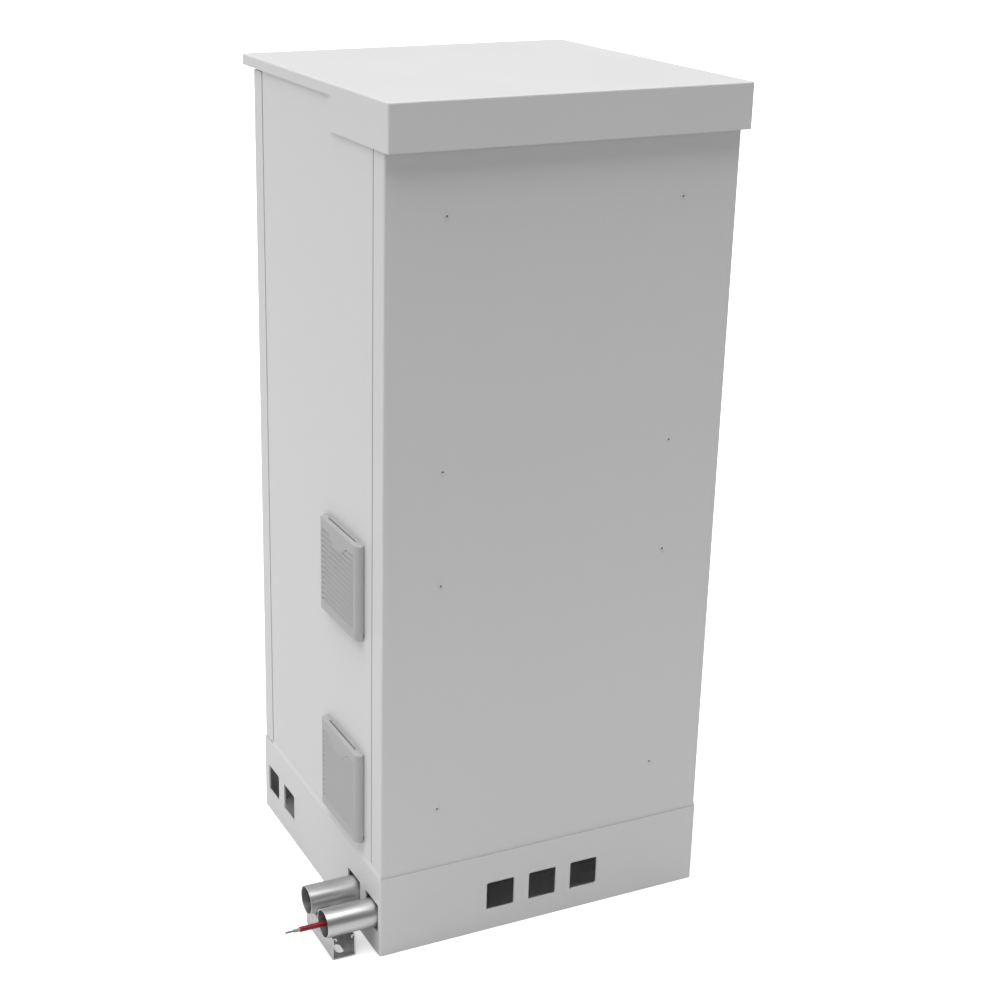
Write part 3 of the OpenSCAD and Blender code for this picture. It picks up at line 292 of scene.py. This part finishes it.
def bump(tree, shader, height, strength, distance):
    """Feeds a height into the shader's normal."""
    made = add(tree, "Bump", {"Height": height, "Strength": strength, "Distance": distance})
    tree.links.new(made.outputs["Normal"], shader.inputs["Normal"])


def grey(value, warm=0.0):
    """A near-neutral colour; warm shifts it a little to yellow."""
    return (value * (1 + warm), value, value * (1 - warm), 1.0)


def cabinet_paint():
    """Light grey powder coat with fine orange peel, a little road dust and faint rain runs."""
    material, tree, shader = finish_material("cabinet_paint", Specular_IOR_Level=0.4)
    grain = use_group(tree, GRAIN, size=0.0016, cloud_size=0.45)
    dust = use_group(tree, DUST, reach=0.16, run_width=0.02)
    base = mix_color(tree, grain["Cloud"], grey(0.63), grey(0.65))
    dusty = mix_color(tree, spread(tree, dust["Splash"], 0.0, 0.04), base, ROAD_DUST)
    streaked = mix_color(tree, spread(tree, dust["Runs"], 0.0, 0.015), dusty, grey(0.5))
    set_color(tree, shader, streaked)
    set_roughness(tree, shader, grain["Cloud"], low=0.40, high=0.52)
    bump(tree, shader, grain["Height"], strength=0.10, distance=0.0004)
    return material


def zinc_steel():
    """Galvanised sheet and plated fasteners."""
    material, tree, shader = finish_material("zinc_steel", Metallic=1.0)
    spangle = use_group(tree, SPANGLE, size=0.009)
    grain = use_group(tree, GRAIN, cloud_size=0.08)
    tone = mix_color(tree, spangle["Tone"], grey(0.55), grey(0.68))
    dull = spread(tree, grain["Cloud"], 0.0, 0.35)
    set_color(tree, shader, mix_color(tree, dull, tone, grey(0.42)))
    set_roughness(tree, shader, spangle["Tone"], low=0.30, high=0.46)
    bump(tree, shader, spangle["Height"], strength=0.12, distance=0.0003)
    return material


def conduit_steel():
    """Satin drawn tube: fine lines along it and a slow change of gloss."""
    material, tree, shader = finish_material("conduit_steel", Metallic=1.0)
    drawn = use_group(tree, DRAWN, stretch=(0.02, 1.0, 1.0), width=0.0010)
    grain = use_group(tree, GRAIN, cloud_size=0.06)
    tone = mix_color(tree, drawn["Lines"], grey(0.56), grey(0.66))
    dull = spread(tree, grain["Cloud"], 0.0, 0.25, from_low=0.3, from_high=0.8)
    set_color(tree, shader, mix_color(tree, dull, tone, grey(0.44)))
    set_roughness(tree, shader, grain["Cloud"], low=0.32, high=0.42, from_low=0.3, from_high=0.7)
    bump(tree, shader, drawn["Lines"], strength=0.03, distance=0.0002)
    return material


def seal_rubber():
    """Black foamed rubber with fine pores."""
    material, tree, shader = finish_material("seal_rubber", Specular_IOR_Level=0.3)
    grain = use_group(tree, GRAIN, size=0.0012, cloud_size=0.05)
    set_color(tree, shader, mix_color(tree, grain["Cloud"], grey(0.012), grey(0.035)))
    set_roughness(tree, shader, grain["Height"], low=0.6, high=0.85)
    bump(tree, shader, grain["Height"], strength=0.5, distance=0.0004)
    return material


def black_plastic():
    """Black glass-filled plastic with a spark-eroded grain."""
    material, tree, shader = finish_material("black_plastic", Specular_IOR_Level=0.45)
    grain = use_group(tree, GRAIN, size=0.0007, cloud_size=0.06)
    set_color(tree, shader, mix_color(tree, grain["Cloud"], grey(0.016), grey(0.034)))
    set_roughness(tree, shader, grain["Cloud"], low=0.38, high=0.55)
    bump(tree, shader, grain["Height"], strength=0.25, distance=0.0002)
    return material


def filter_plastic():
    """Grey moulded plastic, a little darker than the paint, with a fine grain."""
    material, tree, shader = finish_material("filter_plastic", Specular_IOR_Level=0.4)
    grain = use_group(tree, GRAIN, size=0.0008, cloud_size=0.05)
    set_color(tree, shader, mix_color(tree, grain["Cloud"], grey(0.40), grey(0.44)))
    set_roughness(tree, shader, grain["Cloud"], low=0.48, high=0.62)
    bump(tree, shader, grain["Height"], strength=0.2, distance=0.0002)
    return material


def filter_fleece():
    """White needle fleece."""
    material, tree, shader = finish_material("filter_fleece", Sheen_Weight=0.3, Roughness=0.95)
    fibres = use_group(tree, DRAWN, stretch=(1.0, 0.25, 1.0), width=0.0016)
    set_color(tree, shader, mix_color(tree, fibres["Lines"], grey(0.55, 0.02), grey(0.86, 0.01)))
    bump(tree, shader, fibres["Lines"], strength=0.9, distance=0.0015)
    return material


def lock_chrome():
    """Plated barrel with turning marks."""
    material, tree, shader = finish_material("lock_chrome", Metallic=1.0)
    drawn = use_group(tree, DRAWN, stretch=(1.0, 0.05, 1.0), width=0.0006)
    set_color(tree, shader, mix_color(tree, drawn["Lines"], grey(0.62), grey(0.80)))
    set_roughness(tree, shader, drawn["Patches"], low=0.10, high=0.24)
    return material


def cable_red():
    """Red cable sheath, slightly satin."""
    material, tree, shader = finish_material("cable_red", Specular_IOR_Level=0.45)
    grain = use_group(tree, GRAIN, size=0.0012, cloud_size=0.02)
    set_color(tree, shader, mix_color(tree, grain["Cloud"], *SHEATH_RED))
    set_roughness(tree, shader, grain["Cloud"], low=0.34, high=0.5)
    bump(tree, shader, grain["Height"], strength=0.15, distance=0.0002)
    return material


def cable_pale():
    """Grey insulation under the sheath, smooth and a little glossy."""
    material, tree, shader = finish_material("cable_pale", Specular_IOR_Level=0.5)
    grain = use_group(tree, GRAIN, cloud_size=0.006)
    set_color(tree, shader, mix_color(tree, grain["Cloud"], grey(0.20), grey(0.34)))
    set_roughness(tree, shader, grain["Cloud"], low=0.14, high=0.26)
    return material


def cable_wire():
    """Dull bare wire, drawn along its length."""
    material, tree, shader = finish_material("cable_wire", Metallic=1.0)
    drawn = use_group(tree, DRAWN, stretch=(0.05, 1.0, 1.0), width=0.0004)
    set_color(tree, shader, mix_color(tree, drawn["Lines"], grey(0.16, 0.02), grey(0.32, 0.02)))
    set_roughness(tree, shader, drawn["Patches"], low=0.32, high=0.5)
    bump(tree, shader, drawn["Lines"], strength=0.3, distance=0.0002)
    return material


def earth_copper():
    """Bare copper bar with tarnish."""
    material, tree, shader = finish_material("earth_copper", Metallic=1.0)
    drawn = use_group(tree, DRAWN, stretch=(0.03, 1.0, 1.0), width=0.0008)
    bright = mix_color(tree, drawn["Lines"], *COPPER)
    dull = spread(tree, drawn["Patches"], 0.0, 0.6, from_low=0.45, from_high=0.7)
    set_color(tree, shader, mix_color(tree, dull, bright, TARNISH))
    set_roughness(tree, shader, drawn["Patches"], low=0.25, high=0.45)
    return material


def earth_insulator():
    """Red-brown insulating post."""
    material, tree, shader = finish_material("earth_insulator", Specular_IOR_Level=0.5)
    grain = use_group(tree, GRAIN, size=0.0010, cloud_size=0.02)
    set_color(tree, shader, mix_color(tree, grain["Cloud"], *POST_RED))
    set_roughness(tree, shader, grain["Height"], low=0.3, high=0.45)
    return material


FINISHES = {make.__name__: make() for make in (
    cabinet_paint, zinc_steel, conduit_steel, seal_rubber, black_plastic, filter_plastic,
    filter_fleece, lock_chrome, cable_red, cable_pale, cable_wire, earth_copper, earth_insulator,
)}


def coat(obj, finish):
    """Gives an object one finish all over."""
    obj.data.materials.clear()
    obj.data.materials.append(FINISHES[finish])


def dress_nodes():
    """Gives each CAD node the finish that its material slot names."""
    for part in frame["record"]["subparts"]:
        coat(frame["nodes"][part["node"]], part["material_slot"])


def dress_piece(obj, finish, body):
    """Gives a new piece its finish and lets it move with its body."""
    coat(obj, finish)
    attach(obj, body)


def new_object(name, data):
    """Makes an object and links it to the scene."""
    obj = bpy.data.objects.new(name, data)
    bpy.context.collection.objects.link(obj)
    return obj


def soften(mesh):
    """Shades a mesh softly up to its sharp edges."""
    mesh.shade_smooth()
    mesh.set_sharp_from_angle(angle=SHARP_EDGE)


def link_shape(name, shape):
    """Closes a shape off as an object with outward faces."""
    bmesh.ops.recalc_face_normals(shape, faces=shape.faces)
    mesh = bpy.data.meshes.new(name)
    shape.to_mesh(mesh)
    shape.free()
    soften(mesh)
    return new_object(name, mesh)


def block(shape, low, high):
    """Adds a box between two corners."""
    low, high = Vector(low), Vector(high)
    place = Matrix.Translation((high + low) / 2) @ Matrix.Diagonal((high - low).to_4d())
    bmesh.ops.create_cube(shape, size=1.0, matrix=place)


def raise_face(shape, corners, travel):
    """Adds a prism: a flat face through the corners, drawn along a vector."""
    face = shape.faces.new([shape.verts.new(corner) for corner in corners])
    grown = bmesh.ops.extrude_face_region(shape, geom=[face], use_keep_orig=True)["geom"]
    moved = [item for item in grown if isinstance(item, bmesh.types.BMVert)]
    bmesh.ops.translate(shape, verts=moved, vec=travel)


def skin(shape, rings):
    """Adds a closed tube through rings of corners, with a flat face at each end."""
    loops = [[shape.verts.new(corner) for corner in ring] for ring in rings]
    count = len(loops[0])
    for here, there in zip(loops, loops[1:]):
        for i in range(count):
            j = (i + 1) % count
            shape.faces.new((here[i], here[j], there[j], there[i]))
    shape.faces.new(loops[0])
    shape.faces.new(loops[-1])


def combine(obj, shape, operation):
    """Joins a shape to an object or cuts it out."""
    tool = link_shape("tool", shape)
    change = obj.modifiers.new("change", "BOOLEAN")
    change.operation = operation
    change.solver = "EXACT"
    change.object = tool
    done = obj.evaluated_get(bpy.context.evaluated_depsgraph_get())
    mesh = bpy.data.meshes.new_from_object(done)
    obj.modifiers.clear()
    obj.data = mesh
    bpy.data.objects.remove(tool)


def cover_crown(x, y, z):
    """Crisp upper edge of a filter cover, with the same rounded sides as the cover."""
    reach = COVER_HALF - COVER_ROUND
    front = COVER_FACE - COVER_ROUND
    right = [(COVER_BACK, COVER_HALF)]
    right += [(front + COVER_ROUND * math.sin(a), reach + COVER_ROUND * math.cos(a))
              for a in QUARTER_TURN]
    outline = right + [(px, -py) for px, py in reversed(right)]
    shape = bmesh.new()
    raise_face(shape, [(x + px, y + py, z + CROWN_LOW) for px, py in outline],
               (0.0, 0.0, CROWN_HIGH - CROWN_LOW))
    top = z + CROWN_HIGH
    rim = [edge for edge in shape.edges
           if all(abs(vert.co.z - top) < TOUCH for vert in edge.verts)
           and max(vert.co.x for vert in edge.verts) > x + front]
    bmesh.ops.bevel(shape, geom=rim, offset=CROWN_ROUND, segments=CROWN_SEGMENTS, profile=0.5,
                    affect="EDGES", material=-1)
    return shape


def cover_slot(x, y, z):
    """Finger slot in the upper edge of a filter cover."""
    shape = bmesh.new()
    block(shape, (x + SLOT_BACK, y - SLOT_HALF, z + SLOT_FLOOR),
          (x + SLOT_FRONT, y + SLOT_HALF, z + SLOT_TOP))
    return shape


def cover_ramps(x, y, z):
    """Sloped ends of the blades at both sides of the window."""
    plan = [(FILL_BACK, WINDOW_HALF - RAMP_RUN), (FILL_FRONT, WINDOW_HALF),
            (FILL_FRONT, WINDOW_HALF + LAND), (FILL_BACK, WINDOW_HALF + LAND)]
    shape = bmesh.new()
    for side in (-1, 1):
        raise_face(shape, [(x + px, y + side * py, z + WINDOW_LOW) for px, py in plan],
                   (0.0, 0.0, WINDOW_HIGH - WINDOW_LOW))
    return shape


def cover_tongue(x, y, z):
    """Fill that closes the gap round the tongue in the top of the window."""
    low_half, high_half = TONGUE_HALVES
    front = [(-high_half, WINDOW_HIGH), (high_half, WINDOW_HIGH),
             (low_half, TONGUE_LOW), (-low_half, TONGUE_LOW)]
    shape = bmesh.new()
    raise_face(shape, [(x + FILL_BACK, y + py, z + pz) for py, pz in front],
               (FILL_FRONT - FILL_BACK, 0.0, 0.0))
    return shape


def make_cover(name, node, body):
    """Filter cover: the CAD solid with a crown, a finger slot, blade ends and a full tongue."""
    low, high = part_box(node)
    middle = (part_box("right_panel")[1].x, (low.y + high.y) / 2, high.z - COVER_HALF)
    merged = bmesh.new()
    merged.from_mesh(frame["nodes"][node].data)
    bmesh.ops.remove_doubles(merged, verts=merged.verts, dist=TOUCH)
    cover = link_shape(name, merged)
    combine(cover, cover_crown(*middle), "UNION")
    combine(cover, cover_slot(*middle), "DIFFERENCE")
    combine(cover, cover_ramps(*middle), "UNION")
    combine(cover, cover_tongue(*middle), "UNION")
    soften(cover.data)
    flat = cover.modifiers.new("flat_faces", "WEIGHTED_NORMAL")
    flat.keep_sharp = True
    dress_piece(cover, "filter_plastic", body)
    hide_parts(node)


def make_base_lips():
    """Upper lips of the two filter frames, behind the covers' raised edges."""
    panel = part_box("right_panel")[1].x
    shape = bmesh.new()
    for node in ("upper_filter_cover", "lower_filter_cover"):
        low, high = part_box(node)
        block(shape, (panel, low.y + LIP_INSET, high.z - LIP_INSET),
              (panel + LIP_DEPTH, high.y - LIP_INSET, high.z + CROWN_HIGH - COVER_HALF))
    dress_piece(link_shape("filter_base_lips", shape), "filter_plastic", "cabinet")


def make_strands():
    """Twisted strands round the bare end of the core outside the conduit."""
    low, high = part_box("rear_conduit")
    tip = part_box("cable_core")[1].x
    start = Vector((tip - STRAND_LEN, (low.y + high.y) / 2, (low.z + high.z) / 2))
    ring_r = STRAND_R / math.sin(math.pi / STRANDS)
    angles = [math.tau * i / STRAND_SIDES for i in range(STRAND_SIDES)]
    outline = [STRAND_R * Vector((0.0, math.cos(a), math.sin(a))) for a in angles]
    shape = bmesh.new()
    for strand in range(STRANDS):
        rings = []
        for step in range(STRAND_STEPS + 1):
            along = STRAND_LEN * step / STRAND_STEPS
            turn = math.tau * (strand / STRANDS + along / STRAND_LAY)
            place = start + Vector((along, ring_r * math.cos(turn), ring_r * math.sin(turn)))
            rings.append([place + corner for corner in outline])
        skin(shape, rings)
    dress_piece(link_shape("core_strands", shape), "cable_wire", "cabinet")


def sweep(name, path, section, finish):
    """Draws a section along the plinth's ledge; path holds places with the outward angle there."""
    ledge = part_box("plinth")[1].z
    shape = bmesh.new()
    skin(shape, [[(px + out * math.cos(a), py + out * math.sin(a), ledge + up)
                  for out, up in section] for px, py, a in path])
    dress_piece(link_shape(name, shape), finish, "cabinet")


def make_plinth_joint():
    """Thin grey strip on the plinth's ledge at the rear, its grey painted shade of the groove in the
    joint, and fillets in the cabinet paint along both sides.
    """
    half_w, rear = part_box("rear_panel")[1].xy
    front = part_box("right_panel")[0].y
    corner = [(half_w - CORNER_R * (1 - math.cos(a)), rear - CORNER_R * (1 - math.sin(a)), a)
              for a in QUARTER_TURN]
    half = len(corner) // 2
    right_path = [(half_w, front, 0.0)] + corner[:half + 1]
    rear_path = corner[half:]
    left_path, rear_rest = [[(-px, py, math.pi - a) for px, py, a in reversed(path)]
                            for path in (right_path, rear_path)]
    shade_strip = [(-TUCK, 0.0), (LEDGE_STRIP_W, 0.0), (LEDGE_STRIP_W, SHADE_STRIP_H / 2),
              (LEDGE_STRIP_W - SHADE_STRIP_H / 2, SHADE_STRIP_H), (-TUCK, SHADE_STRIP_H)]
    fillet = [(-TUCK, 0.0), (LEDGE_STRIP_W, 0.0), (0.0, FILLET_H), (-TUCK, FILLET_H)]
    # The rear strip's darker grey is painted shade: it stands in for the shadow in the groove
    # between body and plinth.
    sweep("rear_joint_shade_strip", rear_path + rear_rest, shade_strip, "filter_plastic")
    sweep("right_joint_fillet", right_path, fillet, "cabinet_paint")
    sweep("left_joint_fillet", left_path, fillet, "cabinet_paint")


def make_seam_shade_beads():
    """Black beads that fill the two rear seams almost to the face of the panels; their black is
    painted shade of the gaps in the seams.
    """
    low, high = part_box("seam_strips")
    shape = bmesh.new()
    for side in (-1, 1):
        inner, outer = sorted((side * (high.x - BEAD_PROUD), side * (high.x + BEAD_PROUD)))
        block(shape, (inner, low.y, low.z), (outer, high.y, high.z))
    # The beads' black is painted shade, standing in for the shadow inside the seam gaps.
    dress_piece(link_shape("seam_shade_beads", shape), "seal_rubber", "cabinet")


def make_camera():
    """Camera at the photograph's place and angle."""
    data = bpy.data.cameras.new("photo_camera")
    data.lens = CAMERA_LENS_MM
    data.shift_x, data.shift_y = CAMERA_SHIFT
    data.clip_end = CAMERA_FAR
    azimuth, elevation = math.radians(CAMERA_AZIMUTH), math.radians(CAMERA_ELEVATION)
    level = math.cos(elevation)
    back = Vector((math.sin(azimuth) * level, -math.cos(azimuth) * level, math.sin(elevation)))
    roll = Matrix.Rotation(-math.radians(CAMERA_ROLL), 3, "Z").to_quaternion()
    camera = new_object("photo_camera", data)
    camera.rotation_mode = "QUATERNION"
    camera.location = CAMERA_PLACE
    camera.rotation_quaternion = back.to_track_quat("Z", "Y") @ roll
    bpy.context.scene.camera = camera


def floor_material():
    """Pale floor that throws back less light than the camera sees on it outside the plinth."""
    material, tree, shader = finish_material("studio_floor", Roughness=0.9, Specular_IOR_Level=0.1)
    grain = use_group(tree, GRAIN, cloud_size=1.5)
    place = add(tree, "TexCoord").outputs["Object"]
    direct = add(tree, "LightPath").outputs["Is Camera Ray"]
    away = add(tree, "SeparateXYZ", {"Vector": place}).outputs["Y"]
    bounce = spread(tree, away, *FLOOR_BOUNCE, *FLOOR_FADE)
    seen = spread(tree, grain["Cloud"], FLOOR_SEEN - FLOOR_CLOUD, FLOOR_SEEN + FLOOR_CLOUD)
    tone = mix_value(tree, direct, bounce, seen)
    set_color(tree, shader, add(tree, "CombineColor", {0: tone, 1: tone, 2: tone}).outputs[0])
    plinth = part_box("plinth")[1]
    unsigned = add(tree, "VectorMath", {0: place}, operation="ABSOLUTE").outputs[0]
    spot = add(tree, "SeparateXYZ", {"Vector": unsigned}).outputs
    outside = calc(tree, "MAXIMUM", calc(tree, "GREATER_THAN", spot["X"], plinth.x),
                   calc(tree, "GREATER_THAN", spot["Y"], plinth.y))
    glow = spread(tree, calc(tree, "MULTIPLY", direct, outside), 0.0, FLOOR_GLOW)
    shader.inputs["Emission Color"].default_value = grey(1.0)
    tree.links.new(glow, shader.inputs["Emission Strength"])
    return material


def make_floor():
    """Plain studio floor just under the ground plane."""
    shape = bmesh.new()
    bmesh.ops.create_grid(shape, x_segments=1, y_segments=1, size=FLOOR_HALF)
    bmesh.ops.translate(shape, verts=shape.verts, vec=(0.0, 0.0, -FLOOR_DROP))
    mesh = bpy.data.meshes.new("studio_floor")
    shape.to_mesh(mesh)
    shape.free()
    mesh.materials.append(floor_material())
    floor = new_object("studio_floor", mesh)


def make_sky():
    """Dim sky that is brighter on the filter side; the camera sees it plain white."""
    world = bpy.data.worlds.new("studio_sky")
    world.use_nodes = True
    tree = world.node_tree
    toward = add(tree, "TexCoord").outputs["Generated"]
    side = add(tree, "SeparateXYZ", {"Vector": toward}).outputs["X"]
    glow = spread(tree, side, SKY_STRENGTH, SKY_STRENGTH + SKY_SIDE)
    direct = add(tree, "LightPath").outputs["Is Camera Ray"]
    sky = tree.nodes["Background"].inputs
    sky["Color"].default_value = grey(1.0)
    tree.links.new(mix_value(tree, direct, glow, SKY_SEEN), sky["Strength"])
    bpy.context.scene.world = world


def make_key():
    """One broad soft key from above."""
    data = bpy.data.lights.new("soft_key", "SUN")
    data.energy = KEY_STRENGTH
    data.angle = math.radians(KEY_SPREAD)
    key = new_object("soft_key", data)
    key.rotation_mode = "QUATERNION"
    key.rotation_quaternion = Vector(KEY_DIRECTION).to_track_quat("Z", "Y")


bpy.context.scene.view_settings.view_transform = "Standard"
make_camera()
dress_nodes()
make_cover("upper_louvred_cover", "upper_filter_cover", "upper_cover")
make_cover("lower_louvred_cover", "lower_filter_cover", "lower_cover")
make_base_lips()
make_strands()
make_plinth_joint()
make_seam_shade_beads()
make_floor()
make_sky()
make_key()
